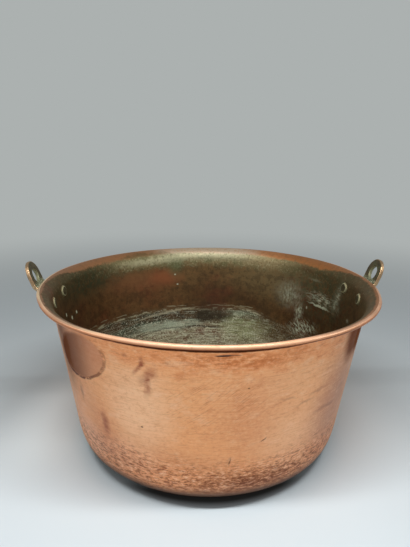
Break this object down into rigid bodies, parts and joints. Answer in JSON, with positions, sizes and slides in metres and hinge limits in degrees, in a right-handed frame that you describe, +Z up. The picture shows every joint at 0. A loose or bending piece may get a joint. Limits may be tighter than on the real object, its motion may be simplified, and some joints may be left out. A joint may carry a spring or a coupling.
{
  "type": "copper boiling pan",
  "caption": "Wide round copper boiling pan with a tapered wall, rounded bottom edge, flared wired rim and a riveted leaning eye at each side.",
  "frame": {"origin": "middle of the flat bottom's underside", "axes": "+Z up along the pan's axis; +X from the axis to the right ear, so the ears stand on the X axis; +Y towards the back"},
  "size_m": [0.5196, 0.48, 0.2691],
  "materials": {
    "copper": "satin, brushed, worn, with verdigris inside",
    "bronze": "dark olive-brown cast bronze with polished edges",
    "rivet_copper": "dark, with a pale verdigris line round the head",
    "iron": "dull drawn iron"
  },
  "bodies": {
    "root": {"pan": "copper", "rim_wire": "iron", "right_ear": "bronze", "left_ear": "bronze", "right_front_rivet": "rivet_copper", "right_back_rivet": "rivet_copper", "left_front_rivet": "rivet_copper", "left_back_rivet": "rivet_copper"}
  },
  "joints": []
}
